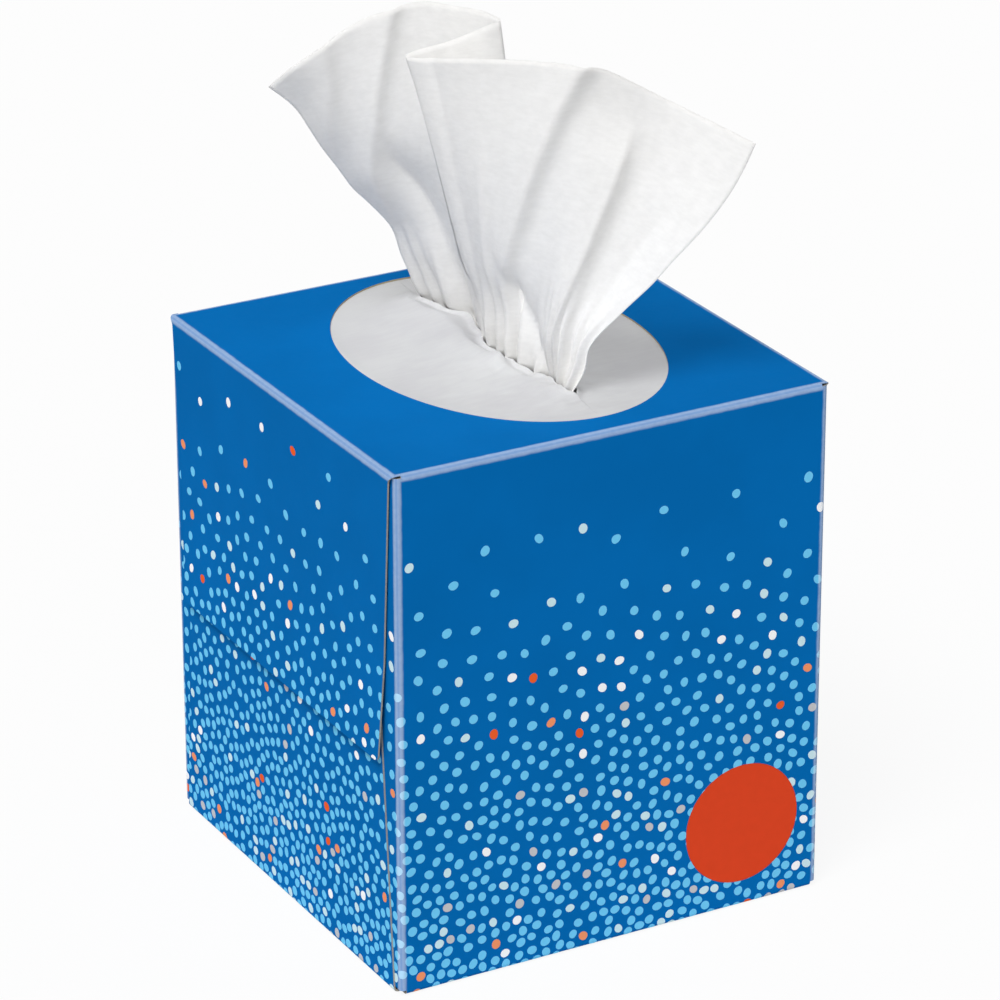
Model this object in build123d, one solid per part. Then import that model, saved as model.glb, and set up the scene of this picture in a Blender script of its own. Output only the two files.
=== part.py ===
"""Upright cube tissue box: a folded paperboard carton, the film under its oval opening,
the folded stack of tissues inside, and the tissue that stands out of the slit.

Frame, in millimetres: the origin is the middle of the carton's base, +Z is up, the glued
end flaps are at -X and +X, and the slit runs along Y.
"""

from build123d import *
from itertools import pairwise
from math import cos, pi, radians, sin
import os

# Carton, outside sizes
carton_width = 111.8  # between the glued end faces, along X
carton_depth = 111.0
carton_height = 127.0
board = 0.4  # paperboard thickness
fold_radius = 1.1  # outside radius of a scored fold

# Glue lap, which hangs from the back panel and is stuck to the inside of the base
glue_lap = 14.0
lap_end_taper = 8.0
base_edge_gap = 1.4  # from the base's free edge to the outer face of the back

# End flaps: how far each fold stops short of the panel's corners, and how much narrower
# the flap is on each side at its free edge. The top flap's sides also run in at its fold.
top_flap_end_height = 56.5  # of its free edge above the base
top_flap_gap = 0.4
top_flap_relief = 1.7
top_flap_relief_reach = 1.5
top_flap_taper = 4.4
top_flap_lift = 1.0  # how far its free edge springs out from the flap under it
top_flap_hold = 3.0  # glued down this far past the free edge of the base flap
base_flap_end_depth = 43.0  # of its free edge below the top of the carton
base_flap_gap = 2.6
base_flap_taper = 6.4
side_flap_reach = 42.0  # from its fold
side_flap_top_gap = 0.5
side_flap_base_gap = 1.2
side_flap_taper = 5.0
flap_corner_radius = 1.5

# Oval opening in the top panel, and what is left of the panel beside it and at its ends
opening_side_margin = 20.9
opening_end_margin = 6.8
opening_offset_x = 1.5
opening_offset_y = 1.1

# Film under the top panel, with the slit that holds the tissue
film_thickness = 0.05
film_overlap = 11.0  # glued to the panel on each side of the opening
film_edge_gap = 2.5  # from the film's ends to the outer faces of the front and back
slit_end_margin = 6.7  # from the slit's ends to the opening's
slit_spread = 5.4  # how far the tissue holds the slit open at its middle

# Stack of sheets that are folded in half along X, bent over into an upside-down U
sheet_width = 208.0  # along the slit
stack_end_clearance = 1.45  # to the end flaps
stack_side_clearance = 1.2  # to the front and back panels
stack_headroom = 7.0  # from its crest to the top of the carton
leg_gap = 0.8  # between the two legs of the stack
inner_bend_radius = 1.5
inner_bend_drop = 12.0  # below the bend, where the legs come together

# Tissue that stands in the slit, and its tail that lies over the stack
tissue_thickness = 0.3
tail_clearance = 0.25
tail_margin_left = 20.75  # from the stack's end at -X
tail_margin_right = 0.75
ply_pitch = 1.2  # the sheet passes the slit in three plies, this far apart
popped_height = 73.0  # above the top panel, at the middle of the upper edge
fan_turn = 29.0  # degrees from X to the face of the fan

overrun = 5.0  # how far a cutting tool runs past what it cuts

# The pleats, each a straight line up from the slit, counted from the slit's middle.
# First its place in the slit, x in ply pitches and y as a share of the slit's length,
# then where it meets the upper edge, x, y and z as shares of the popped height.
pleat_shares = [
    (0.0, 0.417, -0.514, 0.533, 0.781),
    (0.45, 0.357, -0.473, 0.451, 0.863),
    (0.75, 0.286, -0.390, 0.396, 0.945),
    (0.95, 0.202, -0.267, 0.341, 1.027),
    (1.05, 0.083, -0.130, 0.273, 1.068),
    (1.05, -0.060, -0.048, 0.177, 1.068),
    (1.0, -0.172, 0.020, 0.062, 1.060),
    (0.5, -0.181, 0.028, 0.025, 1.055),
    (0.0, -0.172, -0.010, 0.018, 1.050),
    (0.0, -0.119, -0.130, 0.067, 1.000),
    (0.0, -0.060, -0.228, 0.124, 0.965),
    (-0.5, -0.051, -0.256, 0.115, 0.959),
    (-1.0, -0.060, -0.250, 0.070, 0.965),
    (-1.1, -0.119, -0.158, -0.111, 1.000),
    (-1.05, -0.202, 0.007, -0.262, 1.014),
    (-0.8, -0.286, 0.116, -0.371, 1.014),
    (-0.45, -0.357, 0.336, -0.481, 0.890),
    (0.0, -0.417, 0.500, -0.700, 0.795),
]
steps_per_pleat = 2  # points on each face of the sheet between one pleat and the next

# The pleats are cut off by the stack below and by the upper edge above, so they start
# and end past both. These are heights above the top panel, as shares of the popped height.
pleat_start_share = -0.37
pleat_end_share = 1.12

# Upper edge of the tissue, seen square to the fan, across and up from the slit's middle,
# as shares of the popped height. Its ends run past the sheet.
upper_edge_shares = [
    (-1.00, 0.48),
    (-0.71, 0.78),
    (-0.53, 0.945),
    (-0.40, 1.015),
    (-0.25, 1.045),
    (0.00, 1.04),
    (0.28, 1.01),
    (0.53, 0.89),
    (0.78, 0.795),
    (1.05, 0.70),
]

# Places that several pieces share
half_width = carton_width / 2
half_depth = carton_depth / 2
flap_start = 3 * board + fold_radius  # from the end face to where the flaps begin
panel_length = carton_width - 2 * flap_start
opening_width = carton_width - 2 * opening_side_margin
opening_length = carton_depth - 2 * opening_end_margin
slit_length = opening_length - 2 * slit_end_margin
stack_length = carton_width - 2 * (3 * board + stack_end_clearance)
stack_radius = half_depth - board - stack_side_clearance
bend_height = carton_height - stack_headroom - stack_radius
slit_middle = Vector(opening_offset_x, opening_offset_y, carton_height)


def board_strip(*points):
    """Section of a strip of board that is bent at each inner point of its middle line."""
    middle_line = FilletPolyline(*points, radius=fold_radius - board / 2)
    return trace(middle_line, line_width=board)


def make_panels():
    """The four panels in a ring, closed by the lap that is glued inside the base."""
    back = half_depth - board / 2
    top = carton_height - board / 2
    lap = board_strip((back - glue_lap, 3 * board / 2), (back, 3 * board / 2), (back, glue_lap))
    ring = board_strip(
        (back, glue_lap),
        (back, top),
        (-back, top),
        (-back, board / 2),
        (half_depth - base_edge_gap, board / 2),
    )
    panels = extrude(Plane.YZ * (ring + lap), amount=panel_length / 2, both=True)
    lap_corner = Polyline(
        (panel_length / 2, half_depth - base_edge_gap),
        (panel_length / 2, half_depth - glue_lap - overrun),
        (panel_length / 2 - lap_end_taper, half_depth - glue_lap - overrun),
        close=True,
    )
    trimming = extrude(Plane.XY.offset(board) * make_face(lap_corner), amount=board)
    return panels - trimming - mirror(trimming, about=Plane.YZ)


def make_flap(outer_boards, fold_length, reach, taper, relief=0, loose=0, lift=0):
    """A flap in its own frame: x along the fold, y to the free edge, z into the box.

    The flap lies under the given number of outer boards. Its loose end may be lifted.
    """
    level = (outer_boards + 0.5) * board
    bends = [(board / 2, flap_start), (board / 2, level)]
    if lift:
        bends.append((reach - loose, level))
    section = board_strip(*bends, (reach, level - lift))
    bent = extrude(Plane.YZ * section, amount=fold_length / 2 + overrun, both=True)
    root = fold_length / 2
    tip = root - relief - taper
    corners = [(tip, reach), (root, 0)]
    if relief:
        corners.insert(1, (root - relief, top_flap_relief_reach))
    other_side = [(-across, along) for across, along in reversed(corners)]
    sides = FilletPolyline(*other_side, *corners, radius=flap_corner_radius)
    outline = make_face([sides, Line(sides @ 1, sides @ 0)])
    return bent & extrude(outline, amount=flap_start, both=True)


def make_end():
    """The four flaps that close the end at -X, with the top flap outermost."""
    base_reach = carton_height - base_flap_end_depth
    top_flap = make_flap(
        0,
        carton_depth - 2 * top_flap_gap,
        carton_height - top_flap_end_height,
        top_flap_taper,
        relief=top_flap_relief,
        loose=base_reach - top_flap_hold - top_flap_end_height,
        lift=top_flap_lift,
    )
    base_flap = make_flap(1, carton_depth - 2 * base_flap_gap, base_reach, base_flap_taper)
    side_fold_length = carton_height - side_flap_top_gap - side_flap_base_gap
    side_flap = make_flap(2, side_fold_length, side_flap_reach, side_flap_taper)
    middle = side_flap_base_gap + side_fold_length / 2
    top_fold = Plane((-half_width, 0, carton_height), x_dir=(0, -1, 0), z_dir=(1, 0, 0))
    base_fold = Plane((-half_width, 0, 0), x_dir=(0, 1, 0), z_dir=(1, 0, 0))
    front_fold = Plane((-half_width, -half_depth, middle), x_dir=(0, 0, -1), z_dir=(1, 0, 0))
    back_fold = Plane((-half_width, half_depth, middle), x_dir=(0, 0, 1), z_dir=(1, 0, 0))
    side_flaps = front_fold * side_flap + back_fold * side_flap
    return top_fold * top_flap + base_fold * base_flap + side_flaps


def make_carton():
    """One folded and glued piece of board, with the oval cut through its top panel."""
    end = make_end()
    carton = make_panels() + end + mirror(end, about=Plane.YZ)
    oval = Pos(slit_middle) * Ellipse(opening_width / 2, opening_length / 2)
    return carton - extrude(oval, amount=overrun, both=True)


def make_slit():
    """The slit, held open as a narrow lens."""
    side = ThreePointArc((0, -slit_length / 2), (slit_spread / 2, 0), (0, slit_length / 2))
    return make_face([side, mirror(side, about=Plane.YZ)])


def make_film():
    """A flat patch of film, glued to the underside of the top panel."""
    film_width = opening_width + 2 * film_overlap
    patch = Pos(opening_offset_x, 0) * Rectangle(film_width, carton_depth - 2 * film_edge_gap)
    slit = Pos(opening_offset_x, opening_offset_y) * make_slit()
    lower_face = carton_height - board - film_thickness
    return extrude(Plane.XY.offset(lower_face) * (patch - slit), amount=film_thickness)


def leg_drop(radius):
    """How far below the bend a sheet ends that is bent over at this radius."""
    return (sheet_width - pi * radius) / 2


def make_stack():
    """The stack of tissues, with its ends slanted by the longer way round outside."""
    flat_end = (sheet_width - 2 * (bend_height - board)) / pi
    outer_end = bend_height - leg_drop(stack_radius)
    right_side = Polyline(
        (flat_end, board), (stack_radius, outer_end), (stack_radius, bend_height)
    )
    crest_point = (0, bend_height + stack_radius)
    crest = ThreePointArc(right_side @ 1, crest_point, (-stack_radius, bend_height))
    left_side = mirror(right_side, about=Plane.YZ)
    outline = make_face([right_side, crest, left_side, Line(left_side @ 0, right_side @ 0)])
    slot_side = Polyline(
        (leg_gap / 2, 0),
        (leg_gap / 2, bend_height - inner_bend_drop),
        (inner_bend_radius, bend_height),
    )
    slot_top = ThreePointArc(
        slot_side @ 1, (0, bend_height + inner_bend_radius), (-inner_bend_radius, bend_height)
    )
    other_side = mirror(slot_side, about=Plane.YZ)
    slot = make_face([slot_side, slot_top, other_side, Line(other_side @ 0, slot_side @ 0)])
    return extrude(Plane.YZ * (outline - slot), amount=stack_length / 2, both=True)


def tail_line(radius):
    """The line over the stack, seen along X, that a sheet follows at this radius."""
    low = bend_height - leg_drop(radius)
    arc = ThreePointArc((radius, bend_height), (0, bend_height + radius), (-radius, bend_height))
    return [Line((radius, low), arc @ 0), arc, Line(arc @ 1, (-radius, low))]


def make_tail():
    """The part of the sheet that is still folded over the top of the stack."""
    radius = stack_radius + tail_clearance + tissue_thickness / 2
    strip = trace(tail_line(radius), line_width=tissue_thickness)
    across = Plane.YZ.offset(tail_margin_left - stack_length / 2)
    return extrude(across * strip, amount=stack_length - tail_margin_left - tail_margin_right)


def pleat_points(height_share):
    """Where the pleats pass one height. They stand straight up below the slit."""
    points = []
    for slit_x, slit_y, edge_x, edge_y, edge_height in pleat_shares:
        foot = Vector(slit_x * ply_pitch, slit_y * slit_length)
        lean = Vector(edge_x * popped_height, edge_y * popped_height) - foot
        rise = Vector(0, 0, height_share * popped_height)
        points.append(slit_middle + foot + lean * max(height_share, 0) / edge_height + rise)
    return points


def pleat_spacing():
    """How far along the sheet each pleat lies, from 0 to 1, on average over its height."""
    spacing = [0] * len(pleat_shares)
    for height_share in (0, 1):
        steps = [(after - before).length for before, after in pairwise(pleat_points(height_share))]
        spacing = [sum(steps[:place]) / sum(steps) / 2 + value for place, value in enumerate(spacing)]
    return spacing


def sheet_section(height_share):
    """The pleated sheet cut level at one height, closed round its thickness."""
    middle = Edge.make_spline(pleat_points(height_share), parameters=pleat_spacing())
    count = steps_per_pleat * len(pleat_shares)
    stations = [step / count for step in range(count + 1)]
    front, back = [], []
    for side, offset in ((front, tissue_thickness / 2), (back, -tissue_thickness / 2)):
        for at in stations:
            side.append(middle @ at + (middle % at).rotate(Axis.Z, 90) * offset)
    return make_face(Polyline(*front, *reversed(back), close=True))


def below_upper_edge():
    """Everything below the tissue's upper edge, which is drawn square to the fan."""
    turn = radians(fan_turn)
    face_on = Plane(slit_middle, x_dir=(cos(turn), -sin(turn), 0), z_dir=(-sin(turn), -cos(turn), 0))
    places = [(across * popped_height, up * popped_height) for across, up in upper_edge_shares]
    edge = Spline(*places)
    sides = Polyline(edge @ 1, (places[-1][0], -popped_height), (places[0][0], -popped_height), edge @ 0)
    return extrude(face_on * make_face([edge, sides]), amount=carton_width, both=True)


def make_fan():
    """The pleated half of the sheet that stands out of the slit, down to its tail."""
    heights = (pleat_start_share, 0, pleat_end_share)
    pleated = loft([sheet_section(height_share) for height_share in heights], ruled=True)
    line = tail_line(stack_radius + tail_clearance + tissue_thickness / 2)
    under_tail = make_face([*line, Line(line[-1] @ 1, line[0] @ 0)])
    return (pleated & below_upper_edge()) - extrude(
        Plane.YZ * under_tail, amount=carton_width, both=True
    )


def main():
    pieces = {
        "carton": make_carton(),
        "window_film": make_film(),
        "tissue_stack": make_stack(),
        "pulled_tissue": make_fan() + make_tail(),
    }
    os.makedirs("parts", exist_ok=True)
    for name, piece in pieces.items():
        export_step(piece, f"parts/{name}.step")


main()
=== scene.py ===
import bmesh
import bpy
import math
import numpy as np
from mathutils import Matrix, Vector, noise


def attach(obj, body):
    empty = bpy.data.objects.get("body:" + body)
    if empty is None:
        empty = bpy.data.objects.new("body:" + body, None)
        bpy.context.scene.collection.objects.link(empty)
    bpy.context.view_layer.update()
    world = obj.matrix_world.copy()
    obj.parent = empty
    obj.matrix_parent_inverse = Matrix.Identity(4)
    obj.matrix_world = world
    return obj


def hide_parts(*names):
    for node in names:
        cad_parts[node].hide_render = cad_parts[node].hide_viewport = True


# Upright tissue box: printed board, wrinkled film, the stack inside and the tissue that stands out
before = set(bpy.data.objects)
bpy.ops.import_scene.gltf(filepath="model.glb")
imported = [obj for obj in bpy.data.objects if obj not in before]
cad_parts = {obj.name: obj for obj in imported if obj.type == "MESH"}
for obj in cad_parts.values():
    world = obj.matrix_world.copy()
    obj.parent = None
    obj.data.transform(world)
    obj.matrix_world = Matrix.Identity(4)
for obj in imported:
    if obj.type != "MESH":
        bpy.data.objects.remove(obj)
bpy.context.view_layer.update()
scene = bpy.context.scene
scene.view_settings.view_transform = "Standard"
mm = 0.001


def addThing(name, data):
    thing = bpy.data.objects.new(name, data)
    scene.collection.objects.link(thing)
    return thing


# Camera at the photograph's place
cameraSetup = {
    "target": (5.9, 8.0, 84.8),  # millimetres
    "distance": 1158.84,
    "azimuth": -29.067,  # degrees, 0 looks along +Y
    "elevation": 23.449,
    "roll": -0.112,
    "lens": 178.465,
    "clipEnd": 20,  # metres
}


def makeCamera(setup):
    azimuth, elevation, roll = (math.radians(setup[key]) for key in ("azimuth", "elevation", "roll"))
    back = Vector((math.sin(azimuth), -math.cos(azimuth), 0)) * math.cos(elevation)
    back.z = math.sin(elevation)
    level = Vector((math.cos(azimuth), math.sin(azimuth), 0))
    upright = back.cross(level)
    right = level * math.cos(roll) + upright * math.sin(roll)
    up = upright * math.cos(roll) - level * math.sin(roll)
    place = Vector(setup["target"]) + back * setup["distance"]
    camera = addThing("mainCamera", bpy.data.cameras.new("mainCamera"))
    camera.data.lens = setup["lens"]
    camera.data.clip_end = setup["clipEnd"]
    camera.matrix_world = Matrix.Translation(place * mm) @ Matrix((right, up, back)).transposed().to_4x4()
    scene.camera = camera


makeCamera(cameraSetup)


def srgb(red, green, blue):
    # a colour as seen on screen, 0 to 255, to the linear values that shaders take
    return tuple(
        value / 255 / 12.92 if value < 10.3 else ((value / 255 + 0.055) / 1.055) ** 2.4
        for value in (red, green, blue)
    ) + (1.0,)


def addNode(tree, kind, inputs=None, **settings):
    node = tree.nodes.new(kind)
    for key, value in settings.items():
        setattr(node, key, value)
    for key, value in (inputs or {}).items():
        if isinstance(value, bpy.types.NodeSocket):
            tree.links.new(value, node.inputs[key])
        else:
            node.inputs[key].default_value = value
    return node


def maths(tree, operation, first, second=None):
    inputs = {place: value for place, value in enumerate((first, second)) if value is not None}
    return addNode(tree, "ShaderNodeMath", inputs, operation=operation).outputs[0]


def plus(tree, first, second):
    return maths(tree, "ADD", first, second)


def minus(tree, first, second):
    return maths(tree, "SUBTRACT", first, second)


def times(tree, first, second):
    return maths(tree, "MULTIPLY", first, second)


def mixColour(tree, share, first, second, blendType="MIX"):
    inputs = {0: share, 6: first, 7: second}
    return addNode(tree, "ShaderNodeMix", inputs, data_type="RGBA", blend_type=blendType).outputs[2]


def fade(tree, value, start, end, low=0.0, high=1.0):
    # a soft step from low at start to high at end
    inputs = {"Value": value, "From Min": start, "From Max": end, "To Min": low, "To Max": high}
    return addNode(tree, "ShaderNodeMapRange", inputs, interpolation_type="SMOOTHSTEP").outputs[0]


def newMaterial(name, roughness, specular):
    material = bpy.data.materials.new(name)
    material.use_nodes = True
    tree = material.node_tree
    shader = tree.nodes["Principled BSDF"]
    shader.inputs["Roughness"].default_value = roughness
    shader.inputs["Specular IOR Level"].default_value = specular
    return material, tree, shader


def objectPlace(tree):
    return addNode(tree, "ShaderNodeTexCoord").outputs["Object"]


def speckle(tree, vector, scale, detail=3.0, roughness=0.5):
    inputs = {"Vector": vector, "Scale": scale, "Detail": detail, "Roughness": roughness}
    return addNode(tree, "ShaderNodeTexNoise", inputs).outputs[0]


def separate(tree, vector):
    return addNode(tree, "ShaderNodeSeparateXYZ", {0: vector}).outputs


def tint(tree, shader, share, tones):
    dark, pale = (srgb(*tone) for tone in tones)
    tree.links.new(mixColour(tree, share, dark, pale), shader.inputs["Base Color"])


def addBump(tree, shader, height, strength, distance):
    inputs = {"Height": height, "Strength": strength, "Distance": distance}
    tree.links.new(addNode(tree, "ShaderNodeBump", inputs).outputs[0], shader.inputs["Normal"])


def dressNode(name, material):
    # a CAD node that keeps its solid takes the material in all its slots
    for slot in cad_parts[name].material_slots:
        slot.material = material


def thicken(thing, thickness):
    solid = thing.modifiers.new("ply", "SOLIDIFY")
    solid.thickness = thickness * mm
    solid.offset = 0


def eased(share):
    share = np.clip(share, 0, 1)
    return share * share * (3 - 2 * share)


# Plain studio: even light all round, one lamp high over the near left corner, and a weak and broad
# one low down in front
studio = {
    "ambient": 0.16,
    "lamps": {  # strength, degrees across, and where it shines from
        "keyLamp": (2.9, 26, (-0.44, -0.30, 0.85)),
        "fillLamp": (0.55, 60, (-0.42, -0.87, 0.25)),
    },
    "floorColour": (228, 228, 228),
    "floorLift": 0.92,  # how far the floor is lifted to white for the camera
    "floorReach": 4.0,  # metres
    "floorLevel": -0.0002,
}


def seenRays(tree):
    # one for rays that show something: from the camera, off a gloss or through a film
    path = addNode(tree, "ShaderNodeLightPath").outputs
    seen = maths(tree, "MAXIMUM", path["Is Camera Ray"], path["Is Glossy Ray"])
    return maths(tree, "MAXIMUM", seen, path["Is Transmission Ray"])


def makeStudio(setup):
    world = bpy.data.worlds.new("studioWorld")
    world.use_nodes = True
    scene.world = world
    tree = world.node_tree
    tree.nodes.clear()
    dim = addNode(tree, "ShaderNodeBackground", {"Color": (1, 1, 1, 1), "Strength": setup["ambient"]})
    white = addNode(tree, "ShaderNodeBackground", {"Color": (1, 1, 1, 1), "Strength": 1.0})
    mix = addNode(tree, "ShaderNodeMixShader", {0: seenRays(tree), 1: dim.outputs[0], 2: white.outputs[0]})
    addNode(tree, "ShaderNodeOutputWorld", {"Surface": mix.outputs[0]})

    for name, (strength, angle, shinesFrom) in setup["lamps"].items():
        lamp = addThing(name, bpy.data.lights.new(name, "SUN"))
        lamp.data.energy = strength
        lamp.data.angle = math.radians(angle)
        lamp.rotation_euler = Vector(shinesFrom).to_track_quat("Z", "Y").to_euler()

    mesh = bpy.data.meshes.new("paleFloor")
    reach, level = setup["floorReach"], setup["floorLevel"]
    corners = [(x * reach, y * reach, level) for x, y in ((-1, -1), (1, -1), (1, 1), (-1, 1))]
    mesh.from_pydata(corners, [], [(0, 1, 2, 3)])
    floor = addThing("paleFloor", mesh)
    material, tree, shader = newMaterial("floorPaint", 0.9, 0.0)
    shader.inputs["Base Color"].default_value = srgb(*setup["floorColour"])
    lift = times(tree, seenRays(tree), setup["floorLift"])
    glow = addNode(tree, "ShaderNodeEmission", {"Color": (1, 1, 1, 1), "Strength": 1.0})
    mix = addNode(tree, "ShaderNodeMixShader", {0: lift, 1: shader.outputs[0], 2: glow.outputs[0]})
    tree.links.new(mix.outputs[0], tree.nodes["Material Output"].inputs["Surface"])
    mesh.materials.append(material)


makeStudio(studio)
print("studio and camera are set")


# Carton: where its board lies, in millimetres, and its print
carton = {
    "halfWidth": 55.9,
    "halfDepth": 55.5,
    "height": 127.0,
    "board": 0.4,
    "foldRadius": 1.1,
    "topFlapEnd": 56.5,  # height of its free edge
    "topFlapRoot": 53.4,  # half its width under the fold
    "topFlapTip": 49.0,
    "topFlapHeld": 81.0,  # glued down above this height
    "topFlapLift": 1.0,
    "topFlapCorner": 1.5,
    "baseFlapRoot": 52.9,
    "baseFlapTip": 46.5,
    "baseFlapEnd": 84.0,
    "sideFlapEnd": 1.2,  # it stops this far above the base
    "printDepth": (1.0, 0.8, 0.35),  # along x, y and z, how far in a face may lie and still be printed
    "cutLevel": 126.4,  # the opening's cut rim is above this height
    "blue": (5, 104, 176),
    "wornHighlight": (148, 174, 211),  # painted highlight on the rounded folds, partly their coating worn off
    "rawBoard": (176, 163, 134),
    "greyBack": (164, 158, 148),
    "wornHighlightReach": 1.35,  # from a fold's corner to the middle of the highlight band's edge
    "wornHighlightSoft": 0.32,
    "wornHighlightDepth": 0.5,  # inside the board the band ends this deep
    "wornHighlightStray": 0.35,
    "wornHighlightLine": 0.22,  # half the width of the bluer line along its middle
    "wornHighlightLineTone": 0.74,
}
matteInk = 0.002  # specular level of the coated print


def printedMask(tree, place, normal, setup):
    # one where a face lies on the outside of the box and looks outwards
    spots, looks = separate(tree, place), separate(tree, normal)
    sides = (setup["halfWidth"], setup["halfDepth"], setup["height"] / 2)
    mask = None
    for axis, (side, depth) in enumerate(zip(sides, setup["printDepth"])):
        spot = spots[axis]
        if axis == 2:
            spot = minus(tree, spot, sides[2] * mm)
        outwards = maths(tree, "GREATER_THAN", times(tree, looks[axis], maths(tree, "SIGN", spot)), 0.3)
        outside = maths(tree, "GREATER_THAN", maths(tree, "ABSOLUTE", spot), (side - depth) * mm)
        both = times(tree, outwards, outside)
        mask = both if mask is None else maths(tree, "MAXIMUM", mask, both)
    return mask


def wornHighlightMask(tree, place, setup):
    # a band along each fold, painted highlight and partly worn coating, and how far a spot is from the middle
    # of the nearest band
    spots = separate(tree, place)

    def depth(axis, half):
        under = minus(tree, half * mm, maths(tree, "ABSOLUTE", spots[axis]))
        return maths(tree, "MAXIMUM", under, 0.0)

    def fromFold(first, second):
        # on a face one depth is nought and the other grows, and on the fold's corner they are equal
        both = maths(tree, "MINIMUM", first, second)
        inside = maths(tree, "MAXIMUM", minus(tree, both, setup["wornHighlightDepth"] * mm), 0.0)
        apart = maths(tree, "ABSOLUTE", minus(tree, first, second))
        return plus(tree, apart, times(tree, inside, 20.0))

    deepZ = minus(tree, setup["height"] * mm, spots[2])
    deepY = depth(1, setup["halfDepth"])
    upright = fromFold(depth(0, setup["halfWidth"] - 2 * setup["board"]), deepY)
    front = fromFold(deepY, deepZ)
    end = fromFold(depth(0, setup["halfWidth"]), deepZ)
    nearest = maths(tree, "MINIMUM", upright, maths(tree, "MINIMUM", front, end))
    stray = minus(tree, speckle(tree, place, 320.0), 0.5)
    strayed = plus(tree, nearest, times(tree, stray, setup["wornHighlightStray"] * mm))
    edge, soft = setup["wornHighlightReach"] * mm, setup["wornHighlightSoft"] * mm
    return fade(tree, strayed, edge - soft, edge + soft, 1.0, 0.0), nearest


def makeCartonMaterial(setup):
    material, tree, shader = newMaterial("printedBoard", 0.5, matteInk)
    coords = addNode(tree, "ShaderNodeTexCoord")
    place, normal = coords.outputs["Object"], coords.outputs["Normal"]
    printed = printedMask(tree, place, normal, setup)
    # the band along the folds paints a highlight on their rounded corners, and partly stands for coating worn
    # off there
    wornHighlight, fromFold = wornHighlightMask(tree, place, setup)

    cloudy = speckle(tree, place, 45.0)
    inkShift = fade(tree, cloudy, 0.3, 0.7, 0.965, 1.035)
    ink = mixColour(tree, 1.0, srgb(*setup["blue"]), inkShift, "MULTIPLY")
    streak = speckle(tree, place, 900.0, 2.0)
    wide = setup["wornHighlightLine"] * mm
    line = fade(tree, fromFold, wide, 2 * wide, setup["wornHighlightLineTone"], 1.0)
    wearAndHighlight = times(tree, wornHighlight, times(tree, line, fade(tree, streak, 0.2, 0.75, 1.0, 0.86)))
    ink = mixColour(tree, wearAndHighlight, ink, srgb(*setup["wornHighlight"]))

    # the raw faces: grey fibres inside, browner where the board is cut
    high = maths(tree, "GREATER_THAN", separate(tree, place)[2], setup["cutLevel"] * mm)
    steep = maths(tree, "LESS_THAN", maths(tree, "ABSOLUTE", separate(tree, normal)[2]), 0.5)
    cut = times(tree, high, steep)
    fibres = speckle(tree, place, 1500.0, 4.0, 0.7)
    raw = mixColour(tree, cut, srgb(*setup["greyBack"]), srgb(*setup["rawBoard"]))
    raw = mixColour(tree, 1.0, raw, fade(tree, fibres, 0.25, 0.75, 0.86, 1.08), "MULTIPLY")
    tree.links.new(mixColour(tree, printed, raw, ink), shader.inputs["Base Color"])

    grain = speckle(tree, place, 700.0)
    gloss = plus(tree, fade(tree, grain, 0.3, 0.7, 0.38, 0.5), times(tree, wornHighlight, 0.12))
    dull = minus(tree, 1.0, printed)
    roughness = maths(tree, "MAXIMUM", gloss, times(tree, dull, 0.85))
    tree.links.new(roughness, shader.inputs["Roughness"])
    furry = times(tree, times(tree, dull, fibres), 2.0)
    addBump(tree, shader, plus(tree, times(tree, grain, 0.4), furry), 0.25, 0.00003)
    return material


dressNode("carton", makeCartonMaterial(carton))
print("carton has its printed board")


# Scattered dots: densest at the base and fading out upwards, in an own random layout
dots = {
    "seed": 21,
    "width": 2.07,
    "length": 2.4,
    "sizeSpread": 0.07,
    "stray": 0.16,  # how far an outline wanders from an oval
    "sides": 14,
    "foldRings": 5,  # in the caps of the dots that bend round a fold
    "sunk": 0.005,
    "proud": 0.03,
    "frontSpacing": [  # height, and how far apart the dots are there
        (0, 2.8), (10, 3.05), (20, 3.2), (35, 3.5), (50, 3.9), (65, 4.7), (80, 6.1), (88, 7.5), (96, 10.5),
        (103, 20),
    ],
    "endSpacing": [
        (0, 2.8), (20, 3.0), (35, 3.25), (45, 3.5), (63, 4.05), (75, 4.7), (85, 5.8), (95, 7.4), (105, 10),
        (113, 20),
    ],
    "topHeight": {"front": 105, "end": 116},
    "halfSpread": {"front": 59.0, "end": 55.0},
    "tries": 26000,
    "closest": 0.83,  # share of the spacing that a new dot keeps clear
    "evenSteps": 14,  # that push close dots apart
    "evenSpacing": 0.97,
    "evenPush": 0.22,
    "lowest": -0.4,
    "pushedLowest": -0.6,
    "sheetPitch": 500,  # how far apart the box's faces are laid out as flat sheets
    "edgeInset": 0.02,
    "bareCorner": (52.2, 2.8),  # nothing is printed beyond this x and under this height
    "pastEdge": (0.6, 0.5, 0.4),  # past the top flap's free edge and sides, and the base flap's sides
    "hidden": 1.5,  # the base flap is bare from this far under the top flap
    "foldMargin": 1.5,
    "baseMargin": 2.6,
    "inkHeight": 90,  # where the inks' shares high up are reached
    "inks": {  # colour, and its share low down, half way and high up
        "skyBlue": ((112, 202, 244), (0.76, 0.87, 0.67)),
        "paleAqua": ((203, 232, 239), (0.14, 0.055, 0.10)),
        "softGrey": ((196, 197, 200), (0.05, 0.03, 0.00)),
        "white": ((250, 251, 252), (0.015, 0.015, 0.18)),
        "apricot": ((243, 150, 104), (0.025, 0.018, 0.03)),
        "vermilion": ((236, 96, 45), (0.01, 0.008, 0.015)),
    },
    # the dots' tone in the fold band: painted highlight, partly worn ink
    "wornHighlightInk": (226, 234, 244),
}


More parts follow.
